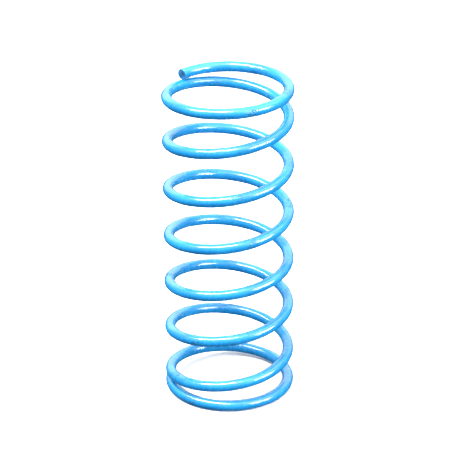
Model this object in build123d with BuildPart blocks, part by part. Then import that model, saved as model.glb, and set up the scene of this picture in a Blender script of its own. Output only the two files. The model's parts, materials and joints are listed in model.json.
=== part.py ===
from build123d import *

import os
from math import cos, pi, radians, sin

# A suspension coil spring, wound from one round steel wire. Both ends are closed, so that the
# tip touches the next coil, and they are cut square and left unground. The axis is Z, the
# bottom of the spring is at Z = 0, and a place along the wire is counted in turns from the
# lower tip. The wire is divided where it starts to flex and then after every working coil.

wire_diameter = 12.0
mean_diameter = 132.5
free_length = 365.0
total_turns = 7.9
working_coils = 6

# Each end lies flat on its seat first, and then the pitch builds up smoothly.
flat_turns = 0.25
build_up_turns = 1.13

# Where the lower tip stands, seen from above, counterclockwise from +X.
tip_angle = 180.0

# The wire's centre line is a chain of arcs, each tangent to the one before.
arcs_per_turn = 24

wire_radius = wire_diameter / 2
coil_radius = mean_diameter / 2
centre_rise = free_length - wire_diameter
pitch = centre_rise / (total_turns - 2 * flat_turns - build_up_turns)
end_coil_turns = (total_turns - working_coils) / 2
lower_tip_direction = Vector(0, 1, 0).rotate(Axis.Z, tip_angle)


def climb(turns):
    """Height that the wire gains over its first turns from either tip."""
    share = min(max((turns - flat_turns) / build_up_turns, 0), 1)
    building_up = build_up_turns * (share**3 - share**4 / 2)
    full_pitch = max(turns - flat_turns - build_up_turns, 0)
    return pitch * (building_up + full_pitch)


def centre_point(turn):
    """Centre of the wire. The upper half is the lower half turned upside down."""
    angle = radians(tip_angle) + 2 * pi * turn
    in_lower_half = turn < total_turns / 2
    rise = climb(turn) if in_lower_half else centre_rise - climb(total_turns - turn)
    return Vector(coil_radius * cos(angle), coil_radius * sin(angle), wire_radius + rise)


def wind(first_turn, last_turn, direction):
    """Draw the centre line between two places on the wire, and return the direction it ends in."""
    steps = round((last_turn - first_turn) * arcs_per_turn)
    step_turns = (last_turn - first_turn) / steps
    for step in range(steps):
        start = centre_point(first_turn + step * step_turns)
        end = centre_point(first_turn + (step + 1) * step_turns)
        arc = TangentArc(start, end, tangent=direction)
        direction = arc % 1
    return direction


os.makedirs("parts", exist_ok=True)

# Lower end coil: the base of the spring, flat on its seat and then climbing to one wire's height.
with BuildPart() as lower_end_coil:
    with BuildSketch(Plane(origin=centre_point(0), z_dir=lower_tip_direction)):
        Circle(wire_radius)
    with BuildLine() as lower_centre_line:
        direction = wind(0, end_coil_turns, lower_tip_direction)
    sweep(path=lower_centre_line.line)

lower_end_coil.part.label = "lower_end_coil"
export_step(lower_end_coil.part, "parts/lower_end_coil.step")

# Working coils: one full turn each. The first and the last hold the end of the pitch's build-up.
for number in range(1, working_coils + 1):
    first_turn = end_coil_turns + number - 1
    with BuildPart() as active_coil:
        with BuildSketch(Plane(origin=centre_point(first_turn), z_dir=direction)):
            Circle(wire_radius)
        with BuildLine() as coil_centre_line:
            direction = wind(first_turn, first_turn + 1, direction)
        sweep(path=coil_centre_line.line)

    active_coil.part.label = f"active_coil_{number}"
    export_step(active_coil.part, f"parts/active_coil_{number}.step")

# Upper end coil: the lower one turned upside down, which carries the upper seat.
upper_end_start = total_turns - end_coil_turns
with BuildPart() as upper_end_coil:
    with BuildSketch(Plane(origin=centre_point(upper_end_start), z_dir=direction)):
        Circle(wire_radius)
    with BuildLine() as upper_centre_line:
        wind(upper_end_start, total_turns, direction)
    sweep(path=upper_centre_line.line)

upper_end_coil.part.label = "upper_end_coil"
export_step(upper_end_coil.part, "parts/upper_end_coil.step")
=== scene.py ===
import json
import math

import bpy
import numpy as np
from mathutils import Matrix, Quaternion, Vector


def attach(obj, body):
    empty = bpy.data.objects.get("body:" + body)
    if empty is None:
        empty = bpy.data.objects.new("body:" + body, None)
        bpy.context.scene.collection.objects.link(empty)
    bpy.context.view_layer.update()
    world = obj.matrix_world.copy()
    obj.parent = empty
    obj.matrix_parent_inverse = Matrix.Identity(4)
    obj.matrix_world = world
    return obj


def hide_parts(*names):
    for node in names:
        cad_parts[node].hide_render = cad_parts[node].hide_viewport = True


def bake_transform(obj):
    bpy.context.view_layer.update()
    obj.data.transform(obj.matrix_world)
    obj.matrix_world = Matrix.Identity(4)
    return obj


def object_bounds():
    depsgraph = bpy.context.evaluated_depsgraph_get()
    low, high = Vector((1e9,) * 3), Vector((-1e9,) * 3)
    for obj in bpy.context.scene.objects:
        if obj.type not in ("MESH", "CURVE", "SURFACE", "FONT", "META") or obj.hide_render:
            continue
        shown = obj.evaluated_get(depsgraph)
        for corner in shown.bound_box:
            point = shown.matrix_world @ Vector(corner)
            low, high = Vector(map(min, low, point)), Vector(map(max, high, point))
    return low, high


# Looks of a suspension coil spring: one round steel wire with a glossy sky-blue powder coat.
# The wire is built as one run of rings and then divided where the CAD nodes are divided. A
# place along the wire is counted in turns from the lower tip, and in metres for the coat.

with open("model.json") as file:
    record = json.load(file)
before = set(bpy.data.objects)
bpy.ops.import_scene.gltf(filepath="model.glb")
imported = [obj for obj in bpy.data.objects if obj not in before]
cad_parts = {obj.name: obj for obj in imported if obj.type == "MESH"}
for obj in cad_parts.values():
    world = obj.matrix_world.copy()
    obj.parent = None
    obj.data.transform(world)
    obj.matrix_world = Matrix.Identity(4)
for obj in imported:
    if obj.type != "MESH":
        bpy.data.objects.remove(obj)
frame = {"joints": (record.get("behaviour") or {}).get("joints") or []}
cad_low, cad_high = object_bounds()

# Driving dimensions of the spring, in metres and turns.
WIRE_RADIUS = 0.006
TOTAL_TURNS = 7.9
WORKING_COILS = 6
FLAT_TURNS = 0.25
BUILD_UP_TURNS = 1.13
TIP_ANGLE = math.pi

# Each cut end has a rounded edge and an uneven, sheared face.
TIP_EDGE_RADIUS = 0.0007
SHEAR_DEPTH = 0.00025

# The coat is uneven by about this much, over lumps of these lengths.
COAT_UNEVENNESS = 0.00007
COAT_LUMPS = (0.006, 0.030)

RINGS_PER_TURN = 300
SIDES = 48

COIL_RADIUS = (cad_high.x - cad_low.x) / 2 - WIRE_RADIUS
CENTRE_RISE = cad_high.z - cad_low.z - 2 * WIRE_RADIUS
PITCH = CENTRE_RISE / (TOTAL_TURNS - 2 * FLAT_TURNS - BUILD_UP_TURNS)
END_COIL_TURNS = (TOTAL_TURNS - WORKING_COILS) / 2

rng = np.random.default_rng(7)


# ---------------------------------------------------------------- the wire's centre line


def climb(turns):
    """Height that the wire gains over its first turns from either tip."""
    share = np.clip((turns - FLAT_TURNS) / BUILD_UP_TURNS, 0, 1)
    building_up = BUILD_UP_TURNS * (share**3 - share**4 / 2)
    full_pitch = np.maximum(turns - FLAT_TURNS - BUILD_UP_TURNS, 0)
    return PITCH * (building_up + full_pitch)


def centre_line(turns):
    """Centre of the wire at each place. The upper half is the lower half turned upside down."""
    angle = TIP_ANGLE + 2 * math.pi * turns
    in_lower_half = turns < TOTAL_TURNS / 2
    rise = np.where(in_lower_half, climb(turns), CENTRE_RISE - climb(TOTAL_TURNS - turns))
    height = cad_low.z + WIRE_RADIUS + rise
    return np.stack([COIL_RADIUS * np.cos(angle), COIL_RADIUS * np.sin(angle), height], axis=1)


def wire_axes(turns):
    """At each place: the way that the wire runs, and the directions across it, outwards and up."""
    step = 1e-4
    along = centre_line(turns + step) - centre_line(turns - step)
    on_a_tip = (turns < step) | (turns > TOTAL_TURNS - step)
    along[on_a_tip, 2] = 0
    along /= np.linalg.norm(along, axis=1)[:, None]
    angle = TIP_ANGLE + 2 * math.pi * turns
    outwards = np.stack([np.cos(angle), np.sin(angle), np.zeros_like(angle)], axis=1)
    return along, outwards, np.cross(outwards, along)


# ---------------------------------------------------------------- the wire's surface


class Waves:
    """A sum of random waves through space, between -1 and 1 or a little over."""

    def __init__(self, count, shortest, longest):
        lengths = np.exp(rng.uniform(math.log(shortest), math.log(longest), count))
        headings = rng.normal(size=(count, 3))
        headings /= np.linalg.norm(headings, axis=1)[:, None]
        self.vectors = headings * (2 * math.pi / lengths)[:, None]
        self.phases = rng.uniform(0, 2 * math.pi, count)
        self.sizes = lengths / np.sqrt((lengths**2).sum())

    def at(self, places):
        return (np.sin(places @ self.vectors.T + self.phases) * self.sizes).sum(axis=-1)


COAT_WAVES = Waves(60, *COAT_LUMPS)
SHEAR_WAVES = Waves(14, 0.002, 0.008)


class Wire:
    """Rings of points from tip to tip, with their normals and their places on the straight wire."""

    def __init__(self):
        zones = [END_COIL_TURNS] + [1.0] * WORKING_COILS + [END_COIL_TURNS]
        self.borders = [0]
        turns = [np.zeros(1)]
        for length in zones:
            steps = round(length * RINGS_PER_TURN)
            turns.append(turns[-1][-1] + length * np.arange(1, steps + 1) / steps)
            self.borders.append(self.borders[-1] + steps)
        self.turns = np.concatenate(turns)
        self.centres = centre_line(self.turns)
        self.along, outwards, up = wire_axes(self.turns)
        strides = np.linalg.norm(np.diff(self.centres, axis=0), axis=1)
        self.run = np.concatenate([[0], np.cumsum(strides)])
        round_angle = 2 * math.pi * np.arange(SIDES) / SIDES
        ring = np.stack([np.cos(round_angle), np.sin(round_angle)], axis=1)
        across = ring[None, :, :1] * outwards[:, None] + ring[None, :, 1:] * up[:, None]
        self.places = np.empty((len(self.turns), SIDES, 3))
        self.places[..., 0] = self.run[:, None]
        self.places[..., 1:] = WIRE_RADIUS * ring
        radius = WIRE_RADIUS + COAT_UNEVENNESS * COAT_WAVES.at(self.places)
        self.points = self.centres[:, None] + across * radius[..., None]
        down_wire = np.gradient(self.points, axis=0)
        round_wire = np.roll(self.points, -1, axis=1) - np.roll(self.points, 1, axis=1)
        normals = np.cross(down_wire, round_wire)
        self.normals = normals / np.linalg.norm(normals, axis=2)[..., None]
        self.normals *= np.sign((self.normals * across).sum(axis=2))[..., None]


WIRE = Wire()


def tip_rings(ring, outward):
    """Rings over a cut end, from its edge to its middle: points, places, and 1 where it is cut."""
    centre, along = WIRE.centres[ring], WIRE.along[ring] * outward
    spokes, place = WIRE.points[ring] - centre, WIRE.places[ring]
    flat_share = 1 - TIP_EDGE_RADIUS / WIRE_RADIUS
    edge_angles = np.radians([18, 36, 54, 72, 90])
    edge_shares = flat_share + (1 - flat_share) * np.cos(edge_angles)
    face_shares = flat_share * np.linspace(0.8, 0.1, 8)
    shares = np.concatenate([edge_shares, face_shares])[:, None, None]
    cut = np.repeat([0.0, 1.0], [len(edge_shares), len(face_shares)])
    depths = np.zeros(len(cut))
    depths[: len(edge_shares)] = TIP_EDGE_RADIUS * (np.sin(edge_angles) - 1)
    places = place * shares
    places[..., 0] = WIRE.run[ring] + outward * depths[:, None]
    sheared = SHEAR_DEPTH * cut[:, None] * (SHEAR_WAVES.at(places) - 1)
    points = centre + spokes * shares + along * (depths[:, None] + sheared)[..., None]
    return points, places, cut


def band(low, high):
    """Faces between two rings of vertices, seen from outside the wire."""
    side = np.arange(SIDES)
    following = np.roll(side, -1)
    return np.stack([low + following, low + side, high + side, high + following], axis=1).tolist()


def fan(start, hub, upwards):
    """Faces from a ring to the point in its middle, which close the wire."""
    side = np.arange(SIDES)
    following = np.roll(side, -1)
    pair = (start + following, start + side) if upwards else (start + side, start + following)
    return np.stack([*pair, np.full(SIDES, hub)], axis=1).tolist()


def wire_length(name, zone, material):
    """One length of the wire as a closed mesh, and the turns at each of its vertices."""
    first, last = WIRE.borders[zone], WIRE.borders[zone + 1]
    at_lower_tip = zone == 0
    at_upper_tip = zone == WORKING_COILS + 1
    edge_rings = math.ceil(TIP_EDGE_RADIUS / WIRE.run[1])
    wall = slice(first + edge_rings * at_lower_tip, last + 1 - edge_rings * at_upper_tip)
    points, places = WIRE.points[wall], WIRE.places[wall]
    cut = np.zeros(len(points))
    wall_start = 0
    if at_lower_tip:
        tip_points, tip_places, tip_cut = tip_rings(first, -1)
        points = np.concatenate([tip_points[::-1], points])
        places = np.concatenate([tip_places[::-1], places])
        cut = np.concatenate([tip_cut[::-1], cut])
        wall_start = len(tip_cut)
    wall_end = wall_start + wall.stop - wall.start
    if at_upper_tip:
        tip_points, tip_places, tip_cut = tip_rings(last, 1)
        points = np.concatenate([points, tip_points])
        places = np.concatenate([places, tip_places])
        cut = np.concatenate([cut, tip_cut])

    hubs = points[[0, -1]].mean(axis=1)
    hub_places = np.stack([[places[end, 0, 0], 0, 0] for end in (0, -1)])
    vertices = np.concatenate([points.reshape(-1, 3), hubs])
    vertex_places = np.concatenate([places.reshape(-1, 3), hub_places])
    vertex_cut = np.concatenate([np.repeat(cut, SIDES), cut[[0, -1]]])
    top_ring = (len(points) - 1) * SIDES
    lower_hub, upper_hub = len(vertices) - 2, len(vertices) - 1
    faces = [face for ring in range(len(points) - 1) for face in band(ring * SIDES, (ring + 1) * SIDES)]
    faces += fan(0, lower_hub, upwards=False) + fan(top_ring, upper_hub, upwards=True)

    mesh = bpy.data.meshes.new(name)
    mesh.from_pydata(vertices.tolist(), [], faces)
    mesh.polygons.foreach_set("use_smooth", [True] * len(faces))
    place_attribute = mesh.attributes.new("wire_place", "FLOAT_VECTOR", "POINT")
    place_attribute.data.foreach_set("vector", vertex_places.astype(np.float32).ravel())
    cut_attribute = mesh.attributes.new("cut_face", "FLOAT", "POINT")
    cut_attribute.data.foreach_set("value", vertex_cut.astype(np.float32))
    mesh.materials.append(material)

    # The wall takes the whole wire's normals, so that no seam shows between two lengths.
    corners = np.zeros(len(mesh.loops), np.int32)
    mesh.loops.foreach_get("vertex_index", corners)
    wall_normals = WIRE.normals[wall].reshape(-1, 3)
    corner_normals = np.zeros((len(corners), 3))
    corners_per_band = 4 * SIDES
    wall_corners = slice(wall_start * corners_per_band, (wall_end - 1) * corners_per_band)
    corner_normals[wall_corners] = wall_normals[corners[wall_corners] - wall_start * SIDES]
    mesh.normals_split_custom_set(corner_normals.tolist())

    piece = bpy.data.objects.new(name, mesh)
    bpy.context.scene.collection.objects.link(piece)
    return piece, np.interp(vertex_places[:, 0], WIRE.run, WIRE.turns)


# ---------------------------------------------------------------- the coat


class Paint:
    """A material's node tree, with short calls for the nodes that the coat needs."""

    def __init__(self, name):
        self.material = bpy.data.materials.new(name)
        self.material.use_nodes = True
        self.tree = self.material.node_tree
        self.shader = self.tree.nodes["Principled BSDF"]
        self.place = self.attribute("wire_place", "Vector")
        self.cut_face = self.attribute("cut_face", "Fac")

    def attribute(self, name, output):
        node = self.tree.nodes.new("ShaderNodeAttribute")
        node.attribute_name = name
        return node.outputs[output]

    def put(self, value, socket):
        """Link or set one input."""
        if isinstance(value, bpy.types.NodeSocket):
            self.tree.links.new(value, socket)
        else:
            socket.default_value = value

    def noise(self, size, detail, roughness, stretch=1.0):
        """Noise with lumps of about this size in metres, longer by stretch along the wire."""
        scaled = self.tree.nodes.new("ShaderNodeVectorMath")
        scaled.operation = "MULTIPLY"
        self.put(self.place, scaled.inputs[0])
        scaled.inputs[1].default_value = (1 / stretch, 1, 1)
        node = self.tree.nodes.new("ShaderNodeTexNoise")
        self.put(scaled.outputs[0], node.inputs["Vector"])
        node.inputs["Scale"].default_value = 1 / size
        node.inputs["Detail"].default_value = detail
        node.inputs["Roughness"].default_value = roughness
        return node.outputs["Fac"]

    def spread(self, value, low, high, to_low=0.0, to_high=1.0):
        """Spread the values between low and high smoothly over a new range."""
        node = self.tree.nodes.new("ShaderNodeMapRange")
        node.interpolation_type = "SMOOTHSTEP"
        self.put(value, node.inputs["Value"])
        node.inputs["From Min"].default_value = low
        node.inputs["From Max"].default_value = high
        node.inputs["To Min"].default_value = to_low
        node.inputs["To Max"].default_value = to_high
        return node.outputs["Result"]

    def maths(self, operation, first, second):
        node = self.tree.nodes.new("ShaderNodeMath")
        node.operation = operation
        self.put(first, node.inputs[0])
        self.put(second, node.inputs[1])
        return node.outputs[0]

    def times(self, first, second):
        return self.maths("MULTIPLY", first, second)

    def plus(self, first, second):
        return self.maths("ADD", first, second)

    def mix(self, share, first, second):
        node = self.tree.nodes.new("ShaderNodeMix")
        node.data_type = "RGBA"
        self.put(share, node.inputs[0])
        self.put(first, node.inputs[6])
        self.put(second, node.inputs[7])
        return node.outputs[2]

    def bump(self, height, distance, under=None):
        """Raise the surface by height times distance, on top of the bumps under it."""
        node = self.tree.nodes.new("ShaderNodeBump")
        self.put(height, node.inputs["Height"])
        node.inputs["Distance"].default_value = distance
        if under is not None:
            self.put(under, node.inputs["Normal"])
        return node.outputs["Normal"]


def coated_wire():
    """Glossy sky-blue powder coat: orange peel, crackled patches, scuffs, darker cut ends."""
    paint = Paint("coated_wire")
    shader = paint.shader.inputs

    patches = paint.spread(paint.noise(0.040, 2.0, 0.5), 0.55, 0.62)
    crackle = paint.times(patches, paint.spread(paint.noise(0.0024, 3.0, 0.65), 0.52, 0.60))
    specks = paint.spread(paint.noise(0.0016, 1.0, 0.5), 0.70, 0.77)
    scuffs = paint.spread(paint.noise(0.0010, 2.0, 0.6, stretch=10), 0.62, 0.75)
    scuffed = paint.times(scuffs, paint.spread(paint.noise(0.040, 2.0, 0.5), 0.52, 0.66))

    thickness = paint.spread(paint.noise(0.030, 3.0, 0.5), 0.30, 0.70)
    blue = paint.mix(thickness, (0.007, 0.200, 0.480, 1), (0.015, 0.260, 0.560, 1))
    crackled = paint.mix(paint.times(crackle, 0.70), blue, (0.002, 0.060, 0.130, 1))
    speckled = paint.mix(paint.times(specks, 0.60), crackled, (0.004, 0.050, 0.190, 1))
    mottle = paint.spread(paint.noise(0.0015, 3.0, 0.6), 0.35, 0.65)
    sheared = paint.mix(mottle, (0.008, 0.050, 0.130, 1), (0.045, 0.180, 0.360, 1))
    paint.put(paint.mix(paint.cut_face, speckled, sheared), shader["Base Color"])

    rough = paint.spread(paint.noise(0.006, 3.0, 0.6), 0.30, 0.70, 0.20, 0.30)
    rough = paint.plus(rough, paint.times(scuffed, 0.22))
    rough = paint.plus(rough, paint.times(crackle, 0.15))
    rough = paint.plus(rough, paint.times(paint.cut_face, 0.25))
    paint.put(rough, shader["Roughness"])

    orange_peel = paint.bump(paint.noise(0.0028, 2.0, 0.5), 0.00008)
    grain = paint.times(patches, paint.noise(0.0016, 2.0, 0.6))
    grained = paint.bump(grain, 0.00035, under=orange_peel)
    dented = paint.bump(crackle, -0.00018, under=grained)
    paint.put(dented, shader["Normal"])

    bare = paint.maths("MAXIMUM", crackle, paint.cut_face)
    paint.put(paint.maths("SUBTRACT", 1.0, bare), shader["Coat Weight"])
    paint.put(grained, shader["Coat Normal"])
    shader["Coat Roughness"].default_value = 0.035
    shader["Coat IOR"].default_value = 1.6
    shader["IOR"].default_value = 1.5
    return paint.material


# ---------------------------------------------------------------- the spring


def follow_closing(piece):
    """Bake a working coil's placement into its mesh."""
    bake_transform(piece)


def end_coil(name, zone, node, body, material):
    piece, _ = wire_length(name, zone, material)
    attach(piece, body)
    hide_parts(node)


def working_coil(number, material):
    piece, turns = wire_length(f"working_wire_{number}", number, material)
    follow_closing(piece)
    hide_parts(f"active_coil_{number}")


def spring():
    coat = coated_wire()
    end_coil("lower_end_wire", 0, "lower_end_coil", "lower_end", coat)
    for joint in frame["joints"]:
        for deforming in joint["deforming_nodes"]:
            working_coil(int(deforming["node"].rsplit("_", 1)[1]), coat)
    end_coil("upper_end_wire", WORKING_COILS + 1, "upper_end_coil", "upper_end", coat)


# ---------------------------------------------------------------- floor and light

# Light that reaches the wire from above and from below the horizon.
SKY = (0.76, 0.79, 0.81, 1)
GROUND = (0.08, 0.25, 0.42, 1)
LIGHT_DISTANCE = 5.0


def pale_floor():
    """White floor for the camera. The world's darker ground lights the wire from below."""
    reach = 3.2
    corners = [(-reach, -reach), (reach, -reach), (reach, reach), (-reach, reach)]
    mesh = bpy.data.meshes.new("floor")
    mesh.from_pydata([(x, y, cad_low.z) for x, y in corners], [], [(0, 1, 2, 3)])
    material = bpy.data.materials.new("pale_floor")
    material.use_nodes = True
    shader = material.node_tree.nodes["Principled BSDF"].inputs
    shader["Base Color"].default_value = (0.93, 0.93, 0.93, 1)
    shader["Roughness"].default_value = 0.9
    mesh.materials.append(material)
    floor = bpy.data.objects.new("floor", mesh)
    bpy.context.scene.collection.objects.link(floor)
    floor.visible_diffuse = False
    floor.visible_glossy = False


def white_room():
    """White sky over blue-grey ground for the wire, and plain white for the camera."""
    world = bpy.data.worlds.new("white_room")
    world.use_nodes = True
    nodes, links = world.node_tree.nodes, world.node_tree.links
    direction = nodes.new("ShaderNodeTexCoord")
    height = nodes.new("ShaderNodeSeparateXYZ")
    links.new(direction.outputs["Generated"], height.inputs[0])
    sky_share = nodes.new("ShaderNodeMapRange")
    links.new(height.outputs["Z"], sky_share.inputs["Value"])
    sky_share.inputs["From Min"].default_value = -0.10
    sky_share.inputs["From Max"].default_value = 0.50
    colour = nodes.new("ShaderNodeMix")
    colour.data_type = "RGBA"
    links.new(sky_share.outputs["Result"], colour.inputs[0])
    colour.inputs[6].default_value = GROUND
    colour.inputs[7].default_value = SKY
    light = nodes["Background"]
    links.new(colour.outputs[2], light.inputs["Color"])
    backdrop = nodes.new("ShaderNodeBackground")
    backdrop.inputs["Color"].default_value = (1, 1, 1, 1)
    rays = nodes.new("ShaderNodeLightPath")
    seen = nodes.new("ShaderNodeMixShader")
    links.new(rays.outputs["Is Camera Ray"], seen.inputs[0])
    links.new(light.outputs[0], seen.inputs[1])
    links.new(backdrop.outputs[0], seen.inputs[2])
    links.new(seen.outputs[0], nodes["World Output"].inputs["Surface"])
    bpy.context.scene.world = world


def softbox(name, direction, heading, length, width, radiance):
    """A soft light in this direction, its sizes as seen from the object, in radians."""
    z_axis = Vector(direction).normalized()
    x_axis = Vector(heading)
    x_axis = (x_axis - z_axis * x_axis.dot(z_axis)).normalized()
    turn = Matrix((x_axis, z_axis.cross(x_axis), z_axis)).transposed().to_4x4()
    light = bpy.data.lights.new(name, "AREA")
    light.shape = "RECTANGLE"
    light.size = length * LIGHT_DISTANCE
    light.size_y = width * LIGHT_DISTANCE
    light.energy = radiance * math.pi * light.size * light.size_y
    lamp = bpy.data.objects.new(name, light)
    bpy.context.scene.collection.objects.link(lamp)
    lamp.matrix_world = Matrix.Translation(z_axis * LIGHT_DISTANCE + (cad_low + cad_high) / 2) @ turn
    lamp.visible_camera = False


def studio_lights():
    """Strips for the white streaks along the wire, and broad boxes for its soft upper light."""
    softbox("left_strip", (-0.32, -0.20, 0.82), (0.76, -0.35, 0.27), 0.85, 0.17, 60.0)
    softbox("right_strip", (0.70, -0.36, 0.38), (0.48, 0.90, -0.26), 0.70, 0.13, 30.0)
    softbox("low_right_strip", (0.78, -0.44, 0.16), (0.40, 0.90, -0.10), 0.60, 0.05, 50.0)
    softbox("back_wall", (0.0, 1.0, 0.42), (1, 0, 0), 2.2, 0.8, 0.85)
    softbox("overhead_softbox", (0.35, -0.10, 0.92), (1, 0, 0), 1.2, 1.2, 1.5)


# ---------------------------------------------------------------- camera


def camera():
    """Long lens, from the front and a little above. The lower tip is on the far left."""
    elevation = math.radians(25.4)
    azimuth = math.radians(4.9)
    roll = math.radians(-0.39)
    distance = 2.680
    data = bpy.data.cameras.new("camera")
    data.sensor_width = 36.0
    data.lens = 193.6
    data.clip_start = 0.1
    data.clip_end = 100.0
    cam = bpy.data.objects.new("camera", data)
    bpy.context.scene.collection.objects.link(cam)
    right = Vector((math.cos(azimuth), math.sin(azimuth), 0))
    front = Vector((math.sin(azimuth), -math.cos(azimuth), 0))
    back = front * math.cos(elevation) + Vector((0, 0, math.sin(elevation)))
    middle = (cad_low + cad_high) / 2
    cam.location = middle + back * distance
    # The spring stands a little right of the picture's middle and a little below it.
    aim = middle - right * 0.0039 + back.cross(right) * 0.0132
    level = (aim - cam.location).to_track_quat("-Z", "Y")
    cam.rotation_mode = "QUATERNION"
    cam.rotation_quaternion = level @ Quaternion((0, 0, 1), roll)
    bpy.context.scene.camera = cam


spring()
pale_floor()
white_room()
studio_lights()
camera()
bpy.context.scene.view_settings.view_transform = "Standard"
